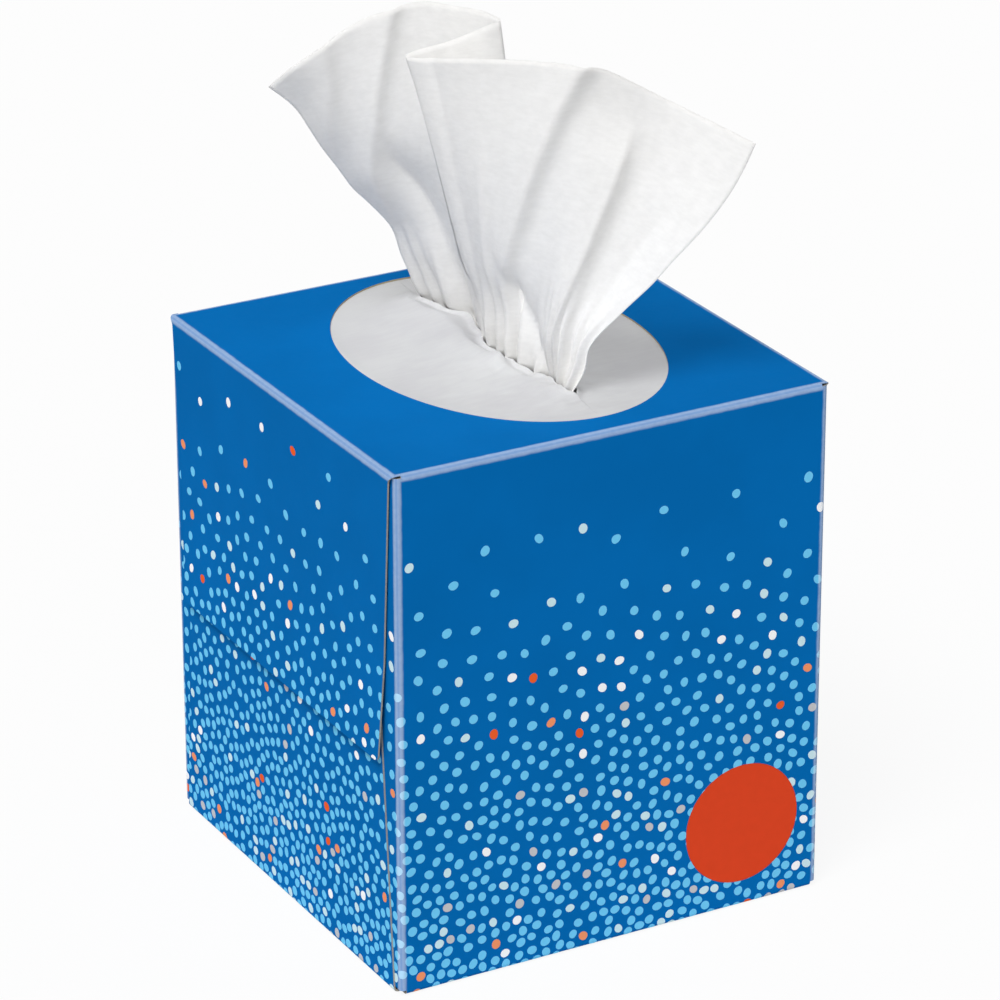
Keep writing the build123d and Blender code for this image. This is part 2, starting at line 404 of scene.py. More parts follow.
def scatterDots(setup, face, seed):
    # dart throwing with a spacing that grows with height, then a few steps that even it out
    rng = np.random.default_rng(seed)
    heights, gaps = np.array(setup[face + "Spacing"], float).T
    width, top, tries = setup["halfSpread"][face], setup["topHeight"][face], setup["tries"]
    places = np.empty((0, 2))
    across, up = rng.uniform(-width, width, tries), rng.uniform(setup["lowest"], top, tries)
    for spot in np.column_stack([across, up]):
        reach = setup["closest"] * np.interp(spot[1], heights, gaps)
        if not len(places) or ((places - spot) ** 2).sum(1).min() > reach * reach:
            places = np.vstack([places, spot])
    for step in range(setup["evenSteps"]):
        apart = places[:, None] - places[None]
        distance = np.sqrt((apart ** 2).sum(2)) + 1e-6
        wanted = setup["evenSpacing"] * np.interp(places[:, 1], heights, gaps)[:, None]
        short = np.clip(wanted - distance, 0, None)
        np.fill_diagonal(short, 0)
        places = places + setup["evenPush"] * (apart / distance[..., None] * short[..., None]).sum(1)
        places[:, 1] = np.clip(places[:, 1], setup["pushedLowest"], top)
    return places


def dotTree():
    # ovals on points, each turned and sized by chance
    tree = bpy.data.node_groups.new("dotScatter", "GeometryNodeTree")
    sockets = {
        "Float": ("Width", "Length", "Thickness", "Size Spread", "Stray"),
        "Int": ("Sides", "Rings", "Seed"),
        "Material": ("Ink",),
    }
    tree.interface.new_socket("Geometry", in_out="INPUT", socket_type="NodeSocketGeometry")
    for kind, names in sockets.items():
        for name in names:
            tree.interface.new_socket(name, in_out="INPUT", socket_type="NodeSocket" + kind)
    tree.interface.new_socket("Geometry", in_out="OUTPUT", socket_type="NodeSocketGeometry")
    given = addNode(tree, "NodeGroupInput").outputs

    def combine(x, y, z):
        return addNode(tree, "ShaderNodeCombineXYZ", {0: x, 1: y, 2: z}).outputs[0]

    def chance(seed, low, high):
        inputs = {"Seed": seed, "Min": low, "Max": high}
        return addNode(tree, "FunctionNodeRandomValue", inputs, data_type="FLOAT_VECTOR").outputs["Value"]

    def vector(operation, inputs):
        return addNode(tree, "ShaderNodeVectorMath", inputs, operation=operation).outputs[0]

    cylinder = {"Vertices": given["Sides"], "Fill Segments": given["Rings"], "Radius": 0.5, "Depth": 1.0}
    disc = addNode(tree, "GeometryNodeMeshCylinder", cylinder).outputs["Mesh"]
    size = combine(given["Width"], given["Length"], given["Thickness"])
    oval = addNode(tree, "GeometryNodeTransform", {"Geometry": disc, "Scale": size}).outputs[0]
    turn = chance(given["Seed"], (0, 0, 0), (0, 0, math.pi))
    low = minus(tree, 1.0, given["Size Spread"])
    high = plus(tree, 1.0, given["Size Spread"])
    swell = chance(plus(tree, given["Seed"], 1.0), combine(low, low, 1.0), combine(high, high, 1.0))
    inputs = {"Points": given["Geometry"], "Instance": oval, "Rotation": turn, "Scale": swell}
    copies = addNode(tree, "GeometryNodeInstanceOnPoints", inputs).outputs[0]
    solid = addNode(tree, "GeometryNodeRealizeInstances", {"Geometry": copies}).outputs[0]

    # the outlines wander sideways, the same at the top and foot of a dot
    flat = vector("MULTIPLY", {0: addNode(tree, "GeometryNodeInputPosition").outputs[0], 1: (1, 1, 0)})
    wander = addNode(tree, "ShaderNodeTexNoise", {"Vector": flat, "Scale": 420.0, "Detail": 0.0})
    centred = vector("SUBTRACT", {0: wander.outputs["Color"], 1: (0.5, 0.5, 0.5)})
    push = vector("SCALE", {0: vector("MULTIPLY", {0: centred, 1: (2, 2, 0)}), "Scale": given["Stray"]})
    moved = addNode(tree, "GeometryNodeSetPosition", {"Geometry": solid, "Offset": push}).outputs[0]
    inked = addNode(tree, "GeometryNodeSetMaterial", {"Geometry": moved, "Material": given["Ink"]})
    addNode(tree, "NodeGroupOutput", {0: inked.outputs[0]})
    return tree


def runTree(thing, tree, values):
    # set the named inputs by their identifiers, then keep the result as a plain mesh
    modifier = thing.modifiers.new("made", "NODES")
    modifier.node_group = tree
    for item in tree.interface.items_tree:
        if item.in_out == "INPUT" and item.name in values:
            modifier[item.identifier] = values[item.name]
    graph = bpy.context.evaluated_depsgraph_get()
    mesh = bpy.data.meshes.new_from_object(thing.evaluated_get(graph), depsgraph=graph)
    thing.modifiers.remove(modifier)
    thing.data = mesh


def foldRound(along, flat, radius):
    # follows a face past its edge and round a fold: how far along, how far in, and the turn there
    over = np.clip((along - flat) / radius, 0, math.pi / 2)
    beyond = np.clip(along - flat - radius * math.pi / 2, 0, None)
    reached = np.where(along < flat, along, flat + radius * np.sin(over))
    return reached, radius * (1 - np.cos(over)) + beyond, over


def onPanel(across, up, rise, side, setup):
    # front (side -1) or back panel, round its upright folds and under the box
    flat = setup["halfWidth"] - 2 * setup["board"] - setup["foldRadius"]
    reached, inX, turnX = foldRound(np.abs(across), flat, setup["foldRadius"])
    down, inZ, turnZ = foldRound(-up, -setup["foldRadius"], setup["foldRadius"])
    x = np.sign(across) * (reached + rise * np.sin(turnX))
    y = side * (setup["halfDepth"] - inX - inZ + rise * np.cos(turnX) * np.cos(turnZ))
    return np.column_stack([x, y, -down - rise * np.sin(turnZ)])


def onFlap(across, up, rise, side, level, lift, setup):
    # an end flap at x = side, the given number of boards deep
    down, inZ, turnZ = foldRound(-up, -setup["foldRadius"], setup["foldRadius"])
    out = setup["halfWidth"] - level * setup["board"] - inZ + rise * np.cos(turnZ) + lift
    return np.column_stack([side * out, -side * across, -down - rise * np.sin(turnZ)])


def placeDots(mesh, setup, board):
    # find which sheet each dot was laid out on, then bend it onto the box
    flat = np.empty(len(mesh.vertices) * 3)
    mesh.vertices.foreach_get("co", flat)
    flat = flat.reshape(-1, 3) / mm
    sheet = np.round(flat[:, 0] / setup["sheetPitch"]).astype(int)
    across, up = flat[:, 0] - sheet * setup["sheetPitch"], flat[:, 1]
    rise = np.where(flat[:, 2] > 0, setup["proud"], -setup["sunk"])
    inset = setup["edgeInset"]
    result = np.zeros(flat.shape)
    for number, side in ((0, -1), (1, 1)):
        part = sheet == number
        x, z = across[part], up[part]
        inner = board["halfWidth"] - 3 * board["board"] - board["foldRadius"]
        z = np.where(np.abs(x) > inner, np.clip(z, board["sideFlapEnd"], None), z)
        result[part] = onPanel(x, z, rise[part], side, board)
    for number, side in ((2, -1), (3, 1)):
        part = sheet == number
        z = np.clip(up[part], board["topFlapEnd"] + inset, None)
        corner, held = board["topFlapCorner"], board["topFlapHeld"]
        root = board["height"] - 1.5  # where the flap is as wide as under its fold
        slope = (board["topFlapRoot"] - board["topFlapTip"]) / (root - board["topFlapEnd"])
        low = np.clip(board["topFlapEnd"] + corner - z, 0, corner)
        half = board["topFlapRoot"] - slope * (root - z) - inset - corner + np.sqrt(corner ** 2 - low ** 2)
        lift = board["topFlapLift"] * np.clip(held - z, 0, None) / (held - board["topFlapEnd"])
        result[part] = onFlap(np.clip(across[part], -half, half), z, rise[part], side, 0, lift, board)
    for number, side in ((4, -1), (5, 1)):
        part = sheet == number
        z = up[part]
        taper = board["baseFlapRoot"] - board["baseFlapTip"]
        half = board["baseFlapRoot"] - taper * z / board["baseFlapEnd"] - inset
        result[part] = onFlap(np.clip(across[part], -half, half), z, rise[part], side, 1, 0, board)
    mesh.vertices.foreach_set("co", (result * mm).ravel())
    mesh.update()


def layOutDots(setup, board):
    # sheets 0 and 1 are the front and back, 2 and 3 the top flaps, 4 and 5 the base flaps
    topSlope = (board["topFlapRoot"] - board["topFlapTip"]) / (board["height"] - board["topFlapEnd"])
    baseSlope = (board["baseFlapRoot"] - board["baseFlapTip"]) / board["baseFlapEnd"]
    past = setup["pastEdge"]
    spots = []
    for number in range(6):
        x, z = scatterDots(setup, "front" if number < 2 else "end", setup["seed"] + number).T
        if number < 2:
            kept = (np.abs(x) < setup["bareCorner"][0]) | (z > setup["bareCorner"][1])
        elif number < 4:
            half = board["topFlapRoot"] - topSlope * (board["height"] - z)
            kept = (z > board["topFlapEnd"] - past[0]) & (np.abs(x) < half + past[1])
        else:
            half = board["baseFlapRoot"] - baseSlope * z
            covered = z > board["topFlapEnd"] + setup["hidden"]
            kept = (np.abs(x) < half + past[2]) & ~covered
        spots.append(np.column_stack([x[kept] + setup["sheetPitch"] * number, z[kept]]))
    return np.vstack(spots)


def inkMaterial(name, colour, board):
    material, tree, shader = newMaterial(name, 0.48, matteInk)
    place = objectPlace(tree)
    wornHighlight = wornHighlightMask(tree, place, board)[0]
    patchy = speckle(tree, place, 380.0)
    ink = mixColour(tree, 1.0, srgb(*colour), fade(tree, patchy, 0.25, 0.75, 0.98, 1.015), "MULTIPLY")
    # in the fold band the dots are lightened too: painted highlight, partly worn ink
    ink = mixColour(tree, times(tree, wornHighlight, 0.45), ink, srgb(*dots["wornHighlightInk"]))
    tree.links.new(ink, shader.inputs["Base Color"])
    grain = speckle(tree, place, 700.0)
    tree.links.new(fade(tree, grain, 0.3, 0.7, 0.36, 0.48), shader.inputs["Roughness"])
    addBump(tree, shader, grain, 0.15, 0.00003)
    return material


def makeDots(setup, board):
    spots = layOutDots(setup, board)
    rng = np.random.default_rng(setup["seed"] + 50)
    names = list(setup["inks"])
    shares = np.array([setup["inks"][name][1] for name in names])
    height = np.clip(spots[:, 1] / setup["inkHeight"], 0, 1) * 2
    cumulative = np.array([[np.interp(h, (0, 1, 2), row) for row in shares] for h in height]).cumsum(1)
    cumulative /= cumulative[:, -1:]
    chosen = (rng.random((len(spots), 1)) > cumulative).sum(1)
    tree = dotTree()
    # the dots beside a fold have rings in their caps, so that they bend round it
    sheet = np.round(spots[:, 0] / setup["sheetPitch"])
    across = np.abs(spots[:, 0] - setup["sheetPitch"] * sheet)
    foldAt = board["halfWidth"] - 2 * board["board"] - board["foldRadius"]
    bent = (spots[:, 1] < setup["baseMargin"]) | ((sheet < 2) & (across > foldAt - setup["foldMargin"]))
    for number, (name, folded) in enumerate((name, folded) for name in names for folded in (False, True)):
        picked = spots[(chosen == number // 2) & (bent == folded)] * mm
        label = ("foldDots_" if folded else "dots_") + name
        mesh = bpy.data.meshes.new(label)
        mesh.from_pydata([(x, y, 0) for x, y in picked], [], [])
        thing = addThing(label, mesh)
        inkName = "ink_" + name
        values = {
            "Width": setup["width"] * mm,
            "Length": setup["length"] * mm,
            "Thickness": 0.0001,
            "Size Spread": setup["sizeSpread"],
            "Stray": setup["stray"] * mm,
            "Sides": setup["sides"],
            "Rings": setup["foldRings"] if folded else 1,
            "Seed": setup["seed"] + number,
            "Ink": bpy.data.materials.get(inkName) or inkMaterial(inkName, setup["inks"][name][0], board),
        }
        runTree(thing, tree, values)
        placeDots(thing.data, setup, board)
        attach(thing, "root")
    print("dots:", len(spots), "in", len(names), "inks")


makeDots(dots, carton)


# Round badge low on the front panel, left bare
badge = {
    "centre": (34.3, 21.4),
    "radius": 15.0,
    "sides": 96,
    "sunk": 0.005,
    "proud": 0.06,
    "rim": 0.2,  # width of the darker line round its edge
    "colour": (221, 71, 38),
    "rimColour": (205, 66, 40),
}


def makeBadge(setup, board):
    points, faces = [], []
    sides, outer, proud = setup["sides"], setup["radius"], setup["proud"]
    for radius, rise in ((outer, -setup["sunk"]), (outer, proud), (outer - setup["rim"], proud)):
        for step in range(sides):
            angle = 2 * math.pi * step / sides
            x = setup["centre"][0] + radius * math.cos(angle)
            z = setup["centre"][1] + radius * math.sin(angle)
            points.append((x * mm, -(board["halfDepth"] + rise) * mm, z * mm))
    for ring in (0, sides):
        for step in range(sides):
            after = (step + 1) % sides
            faces.append((ring + step, ring + after, ring + sides + after, ring + sides + step))
    faces.append(tuple(range(2 * sides, 3 * sides)))
    faces.append(tuple(reversed(range(sides))))
    mesh = bpy.data.meshes.new("badgeDisc")
    mesh.from_pydata(points, [], faces)
    for name, colour in (("badgeInk", setup["colour"]), ("badgeRimInk", setup["rimColour"])):
        mesh.materials.append(inkMaterial(name, colour, board))
    for face in mesh.polygons:
        face.material_index = 0 if len(face.vertices) > 4 else 1
    thing = addThing("badgeDisc", mesh)
    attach(thing, "root")


makeBadge(badge, carton)
print("badge is on the front")


# The stack inside: soft white layers that follow the bend, with shade painted in the gaps between them
stack = {
    "bend": 66.1,  # height of the bend's centre
    "radius": 53.9,
    "layer": 0.55,  # from one folded sheet to the next
    "ripple": 0.9,
    # the darker tone is painted shade in the gaps between the layers
    "tones": ((205, 205, 206), (240, 240, 239)),
}


def makeStackMaterial(setup):
    material, tree, shader = newMaterial("layeredTissue", 0.95, 0.1)
    place = objectPlace(tree)
    spots = separate(tree, place)
    above = maths(tree, "MAXIMUM", minus(tree, spots[2], setup["bend"] * mm), 0.0)
    squares = plus(tree, times(tree, spots[1], spots[1]), times(tree, above, above))
    ripple = times(tree, speckle(tree, place, 60.0), setup["ripple"] * mm)
    radius = plus(tree, maths(tree, "SQRT", squares), ripple)
    wave = maths(tree, "SINE", times(tree, radius, 2 * math.pi / (setup["layer"] * mm)))
    # darker between the layers: painted shade in the gaps between the sheets, and the bump follows the same
    # layers
    layers = fade(tree, wave, -1.0, 0.6)
    fluff = speckle(tree, place, 1300.0, 4.0, 0.7)
    tone = times(tree, layers, fade(tree, fluff, 0.2, 0.7, 0.7, 1.0))
    tint(tree, shader, tone, setup["tones"])
    addBump(tree, shader, plus(tree, layers, fluff), 0.5, 0.0002)
    return material


dressNode("tissue_stack", makeStackMaterial(stack))
print("stack has its layers")


# The tissue that stands out of the slit, in millimetres. Each pleat is a line up from the slit:
# its foot, x in plies and y as a share of the slit, then x, y and z where it meets the upper edge,
# as shares of the popped height.
tissue = {
    "slitMiddle": (1.5, 1.1, 127.0),
    "slitLength": 84.0,
    "slitWidth": 2.6,  # that the gathered sheet may fill
    "plyPitch": 1.2,
    "height": 73.0,
    "pleats": [
        (0.0, 0.417, -0.514, 0.533, 0.781), (0.45, 0.357, -0.473, 0.451, 0.863),
        (0.75, 0.286, -0.390, 0.396, 0.945), (0.95, 0.202, -0.267, 0.341, 1.027),
        (1.05, 0.083, -0.130, 0.273, 1.068), (1.05, -0.060, -0.048, 0.177, 1.068),
        (1.0, -0.172, 0.020, 0.062, 1.060), (0.5, -0.181, 0.028, 0.025, 1.055),
        (0.0, -0.172, -0.010, 0.018, 1.050), (0.0, -0.080, -0.130, 0.067, 1.000),
        (0.0, 0.020, -0.228, 0.124, 0.965), (-0.5, 0.060, -0.256, 0.115, 0.959),
        (-1.0, 0.050, -0.250, 0.070, 0.965), (-1.1, -0.050, -0.158, -0.111, 1.000),
        (-1.05, -0.175, 0.007, -0.262, 1.014), (-0.8, -0.286, 0.116, -0.371, 1.014),
        (-0.45, -0.357, 0.336, -0.481, 0.890), (0.0, -0.417, 0.500, -0.700, 0.795),
    ],
    "columns": 176,
    "rows": 56,
    # how far a line has got from its foot to its upper end, at each share of the height: at the left
    # margin, in the middle and at the right margin
    "lean": [
        (0.0, 0.0, 0.0, 0.0), (0.1, 0.065, 0.07, 0.075), (0.2, 0.14, 0.15, 0.10),
        (0.34, 0.225, 0.285, 0.275), (0.45, 0.348, 0.42, 0.44), (0.53, 0.464, 0.51, 0.54),
        (0.66, 0.585, 0.645, 0.712), (0.8, 0.722, 0.79, 0.86), (0.91, 0.842, 0.895, 0.945),
        (1.0, 1.0, 1.0, 1.0),
    ],
    "looseness": 1.03,  # width of the sheet over the length of its upper edge
    "gatherLength": 9.0,  # of sheet in one fine pleat at the slit
    "gatherReach": 0.40,  # share of the height over which the fine pleats die out
    "gatherFall": 1.6,
    "gatherRoom": 5.0,  # by which the pleats may be deeper where they die out
    "mostSpare": 3.2,
    "nearSide": (-0.49, -0.87),  # folds stand out towards this side
    # folds: share of the sheet at the upper edge and at the slit, heights where each starts and ends,
    # how far it stands out, and how wide it is to the left and right of its crest
    "folds": [
        (0.105, -0.155, 0.55, 1.30, 2.2, 8.0, 2.2),
        (0.205, -0.080, 0.30, 1.30, 2.4, 7.0, 1.8),
        (0.100, 0.130, -0.30, 0.66, -4.0, 2.4, 7.0),
        (0.300, 0.270, 0.10, 1.10, -0.9, 4.0, 4.0),
        (0.545, 0.560, 0.05, 1.30, -1.2, 2.2, 5.0),
        (0.625, 0.590, 0.10, 0.80, 1.0, 5.0, 1.6),
        (0.759, 0.620, 0.12, 1.30, 4.0, 10.0, 2.0),
        (0.358, 0.770, -0.30, 0.40, -2.4, 2.4, 5.0),
        (0.842, 0.805, -0.05, 0.92, 3.4, 8.0, 1.8),
        (0.940, 0.900, 0.00, 0.75, -1.0, 3.0, 6.0),
        (0.975, 0.965, -0.20, 0.42, 1.6, 2.6, 2.6),
    ],
    "foldEase": 0.22,  # share of the height over which a fold starts and ends
    "foldFall": 1.15,
    "thickness": 0.15,
    "sheetWidth": 208.0,
    "sheetLength": 213.0,
    # the rest lies on the stack: over to its right end and back under itself to its left
    "tailRight": 51.0,
    "tailLeft": -33.0,
    "tailLevels": (0.75, 0.30),  # above the stack, on the way out and on the way back
    "tailRows": (22, 4, 14),  # on the way out, in the fold and on the way back
    "tailSpread": 0.45,  # share of the way out in which it spreads to its full width
    "tailCurve": 1.15,
    "tailDrop": (0.25, 1.6),  # share of the way out in which it comes down on the stack, and how fast
    "lightThrough": 0.74,  # share of the light that still reaches what its shadow falls on
    "tones": ((243, 242, 240), (252, 251, 249)),
    "seed": 5,
}


def smoothThrough(knots, values, at):
    # a curve through the values, with each slope taken from its neighbours
    knots, values = np.asarray(knots, float), np.asarray(values, float)
    slopes = np.gradient(values, knots, axis=0)
    place = np.clip(np.searchsorted(knots, at, side="right") - 1, 0, len(knots) - 2)
    span = knots[place + 1] - knots[place]
    t = (at - knots[place]) / span
    if values.ndim > 1:
        t, span = t[:, None], span[:, None]
    first, second = values[place], values[place + 1]
    return (
        first * (2 * t ** 3 - 3 * t ** 2 + 1)
        + slopes[place] * span * (t ** 3 - 2 * t ** 2 + t)
        + second * (3 * t ** 2 - 2 * t ** 3)
        + slopes[place + 1] * span * (t ** 3 - t ** 2)
    )


def fanShape(setup):
    # where each column of the sheet starts in the slit and where it meets the upper edge
    table = np.array(setup["pleats"])
    feet = table[:, :2] * (setup["plyPitch"], setup["slitLength"])
    edges = table[:, 2:] * setup["height"]
    spacing = np.zeros(len(table))
    for points in (feet, edges):
        steps = np.sqrt((np.diff(points, axis=0) ** 2).sum(1))
        spacing += np.concatenate([[0], steps.cumsum()]) / steps.sum() / 2
    fine = np.linspace(0, 1, 900)
    steps = np.sqrt((np.diff(smoothThrough(spacing, edges, fine), axis=0) ** 2).sum(1))
    evenly = np.linspace(0, 1, setup["columns"] + 1)
    share = np.interp(evenly, np.concatenate([[0], steps.cumsum()]) / steps.sum(), fine)
    return smoothThrough(spacing, feet, share), smoothThrough(spacing, edges, share), steps.sum()


def sidewaysOf(points, nearSide):
    # level and square to the sheet's run, towards the near side, and the run from column to column
    along = np.gradient(points[..., :2], axis=1)
    run = np.sqrt((along ** 2).sum(2)) + 1e-9
    square = np.dstack([-along[..., 1], along[..., 0]]) / run[..., None]
    return square * np.sign(square @ np.array(nearSide))[..., None], run


def makeFan(setup):
    foot, edge, edgeLength = fanShape(setup)
    columns, rows = setup["columns"], setup["rows"]
    width = edgeLength * setup["looseness"]
    share = np.linspace(0, 1, columns + 1)
    up = np.linspace(0, 1, rows + 1)
    table = np.array(setup["lean"])
    left, middle, right = (smoothThrough(table[:, 0], table[:, side], up)[:, None] for side in (1, 2, 3))
    blend = share[None] * 2
    leftHalf, rightHalf = left * (1 - blend) + middle * blend, middle * (2 - blend) + right * (blend - 1)
    lean = np.where(blend < 1, leftHalf, rightHalf)
    flat = foot[None] + (edge[:, :2] - foot)[None] * lean[..., None]
    points = np.dstack([flat, up[:, None] * edge[None, :, 2]])

    # fine pleats: as deep as the spare width at each place needs
    rng = np.random.default_rng(setup["seed"])
    square, run = sidewaysOf(points, setup["nearSide"])
    spare = np.clip(width / columns / run, 1.0, setup["mostSpare"])
    phase = np.cumsum(1 + 0.5 * np.convolve(rng.normal(size=columns + 1), np.ones(9) / 3, "same"))
    phase = phase / phase[-1] * width / setup["gatherLength"]
    wave = np.sin(2 * math.pi * phase) + 0.35 * np.sin(2 * math.pi * phase * 0.47 + 1.0)
    depth = 0.25 * setup["gatherLength"] / spare * np.sqrt(np.clip(spare ** 2 - 1, 0, None))
    fading = np.clip(1 - up / setup["gatherReach"], 0, 1) ** setup["gatherFall"]
    slit = setup["slitWidth"] * (1 - (2 * foot[:, 1] / setup["slitLength"]) ** 2) - np.abs(foot[:, 0])
    most = np.clip(slit, 0.25, None)[None] + setup["gatherRoom"] * up[:, None] / setup["gatherReach"]
    shift = wave[None] * np.minimum(depth, most) * fading[:, None]

    # folds that run up from the slit
    for top, bottom, start, end, stand, leftWide, rightWide in setup["folds"]:
        crest = bottom + (top - bottom) * up
        away = (share[None] - crest[:, None]) * width * np.clip(run * columns / width, 0.3, 1.0)
        ease = np.clip((up - start) / setup["foldEase"], 0, 1) * np.clip((end - up) / setup["foldEase"], 0, 1)
        wide = np.where(away < 0, leftWide, rightWide)
        fall = np.exp(-np.abs(away / wide) ** setup["foldFall"])
        shift = shift + stand * eased(ease)[:, None] * fall
    points[..., :2] += square * shift[..., None]
    points += setup["slitMiddle"]

    # where each spot lies on the flat sheet
    lengths = np.sqrt((np.diff(points, axis=0) ** 2).sum(2)).sum(0)
    smooth = np.convolve(np.pad(lengths, 12, mode="edge"), np.ones(25) / 25, "valid")
    across = np.broadcast_to(share * width, (rows + 1, columns + 1))
    return points, np.dstack([across, up[:, None] * smooth[None]])


def gridFaces(rows, columns, start=0):
    faces = []
    for row in range(rows):
        for column in range(columns):
            corner = start + row * (columns + 1) + column
            faces.append((corner, corner + 1, corner + columns + 2, corner + columns + 1))
    return faces


def makeTail(row, setup, below):
    # from the slit down on the stack, laid out by where it is along the stack and round its bend
    share = np.linspace(0, 1, setup["columns"] + 1)
    full = (share - 0.5) * setup["sheetWidth"]
    high, low = setup["tailLevels"]
    farRight, farLeft = setup["tailRight"], setup["tailLeft"]
    radius = below["radius"] + high
    gathered = radius * np.arcsin(np.clip(row[:, 1] / radius, -0.99, 0.99))
    drop = setup["slitMiddle"][2] - below["bend"] - radius * np.cos(gathered / radius)

    def onStack(x, around, level):
        reach = below["radius"] + level
        angle = np.clip(around / reach, -math.pi / 2, math.pi / 2)
        beyond = np.clip(np.abs(around) - reach * math.pi / 2, 0, None)
        height = below["bend"] + reach * np.cos(angle) - beyond
        return np.column_stack([np.broadcast_to(x, around.shape), reach * np.sin(angle), height])

    out, turn, back = setup["tailRows"]
    rows = []
    for t in np.arange(1, out + 1) / out:
        around = gathered + (full - gathered) * eased(t / setup["tailSpread"])
        place = onStack(row[:, 0] + (farRight - row[:, 0]) * t ** setup["tailCurve"], around, high)
        place[:, 2] += drop * max(1 - t / setup["tailDrop"][0], 0) ** setup["tailDrop"][1]
        rows.append(place)
    half = (high - low) / 2
    for angle in math.pi * np.arange(1, turn + 1) / turn:
        rows.append(onStack(farRight + half * math.sin(angle), full, low + half * (1 + math.cos(angle))))
    for t in np.arange(1, back + 1) / back:
        rows.append(onStack(farRight + (farLeft - farRight) * t, full, low))
    return np.array(rows)


def makeTissueMaterial(setup):
    material, tree, shader = newMaterial("tissuePaper", 0.95, 0.05)
    shader.inputs["Subsurface Weight"].default_value = 0.35
    shader.inputs["Subsurface Scale"].default_value = 0.003
    shader.inputs["Subsurface Radius"].default_value = (1.0, 1.0, 1.0)
    # thin paper lets part of the light through, so its shadow is paler than a solid's
    shade = addNode(tree, "ShaderNodeLightPath").outputs["Is Shadow Ray"]
    solid = minus(tree, 1.0, times(tree, shade, setup["lightThrough"]))
    tree.links.new(solid, shader.inputs["Alpha"])
    sheet = addNode(tree, "ShaderNodeUVMap", uv_map="sheet").outputs[0]
    long = addNode(tree, "ShaderNodeMapping", {"Vector": sheet, "Scale": (300, 1100, 1)}).outputs[0]
    crepe = speckle(tree, long, 1.0, 4.0, 0.65)
    fluff = speckle(tree, sheet, 260.0, 4.0, 0.6)
    tone = plus(tree, times(tree, crepe, 0.5), times(tree, fluff, 0.5))
    tint(tree, shader, fade(tree, tone, 0.3, 0.7), setup["tones"])
    addBump(tree, shader, tone, 0.3, 0.00012)
    return material


def makeTissue(setup, below):
    points, onSheet = makeFan(setup)
    tail = makeTail(points[0], setup, below)
    whole = np.concatenate([tail[::-1], points])
    steps = np.sqrt((np.diff(tail, axis=0, prepend=points[:1]) ** 2).sum(2)).mean(1).cumsum()
    across = np.broadcast_to(onSheet[0, :, 0], tail.shape[:2])
    tailOnSheet = np.dstack([across, np.broadcast_to(-steps[:, None], across.shape)])
    flat = np.concatenate([tailOnSheet[::-1], onSheet]).reshape(-1, 2) * mm
    mesh = bpy.data.meshes.new("pulledTissue")
    mesh.from_pydata((whole.reshape(-1, 3) * mm).tolist(), [], gridFaces(len(whole) - 1, setup["columns"]))
    layer = mesh.uv_layers.new(name="sheet")
    for loop in mesh.loops:
        layer.data[loop.index].uv = flat[loop.vertex_index]
    mesh.materials.append(makeTissueMaterial(setup))
    mesh.shade_smooth()
    thing = addThing("pulledTissue", mesh)
    thicken(thing, setup["thickness"])
    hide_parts("pulled_tissue")
    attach(thing, "root")
    return points


tissuePoints = makeTissue(tissue, stack)
print("tissue stands in the slit")


# Film under the opening, slit along its middle. The tissue lifts and crumples its lips.
film = {
    "middle": (1.5, 1.1),
    "size": (92.0, 106.0),
    "level": 126.572,  # of its middle, glued under the board
    "opening": (70.0, 97.4),
    "rimShare": 0.2,  # of the way in from the opening's rim, over which it leaves the board's level
    "sag": 0.3,
    "slitLength": 84.0,
    "slitEase": 3.0,  # over which the slit closes at its ends
    "columns": 34,  # on each side of the slit
    "rows": 150,
    "crowding": 1.7,  # how strongly the columns crowd towards the slit
    "lipFade": 4,  # how fast the lips' shift dies out away from the slit
    "tissueLevels": (126.0, 129.5),  # heights at which the lips keep clear of the tissue
    "tissueNear": 0.9,
    "clearance": 0.15,  # between its lips and the tissue
    "leastReach": 0.1,
    "lipSmooth": 0.7,  # share of the lips' places that is smoothed along the slit
    "shutReach": (0.5, 1.2),  # where the lips shut: this far past the tissue, and over this length
    "upturn": (0.9, 1.1),  # how far its lips turn up against the tissue, and how wide that is
    "upturnEnd": (38.5, 3.0),  # how far along the slit that goes, and over what length it ends
    # along the slit: how far from it the left side's ridge lies, its height and the lip's, then the
    # right lip's height
    "lips": [
        (-46.0, 0.0, 0.0, 0.0, 0.0), (-40.0, 2.0, 0.4, 0.4, 0.3), (-34.0, 2.5, 1.5, 1.3, 0.9),
        (-26.0, 3.5, 1.5, 0.9, 1.2), (-16.0, 5.0, 2.2, 0.5, 1.0), (-8.0, 6.3, 3.4, 0.3, 0.9),
        (2.0, 6.6, 3.2, 0.2, 0.8), (14.0, 6.8, 3.0, 0.2, 0.8), (26.0, 6.2, 2.7, 0.4, 0.8),
        (36.0, 4.0, 1.8, 0.7, 0.6), (44.0, 0.0, 0.0, 0.0, 0.0),
    ],
    "slope": (11.0, 1.2),  # how far from the ridge it dies away, and how steeply
    # small peaks on the left: x from the slit, y, height and width
    "peaks": [(-5.2, -9.0, 1.9, 1.5), (-3.0, -30.0, 1.3, 1.6), (-8.5, -13.0, -1.0, 3.0)],
    "peakFall": 1.3,
    "peakStretch": 0.8,
    "wrinkle": 0.30,
    "crumple": 0.75,
    "crumpleAt": (-27.0, 13.0),  # where along the slit it is most crumpled, and how far that reaches
    "thickness": 0.06,
    "alpha": 0.86,
    "tones": ((205, 205, 208), (214, 215, 216)),
    "seed": 11,
}


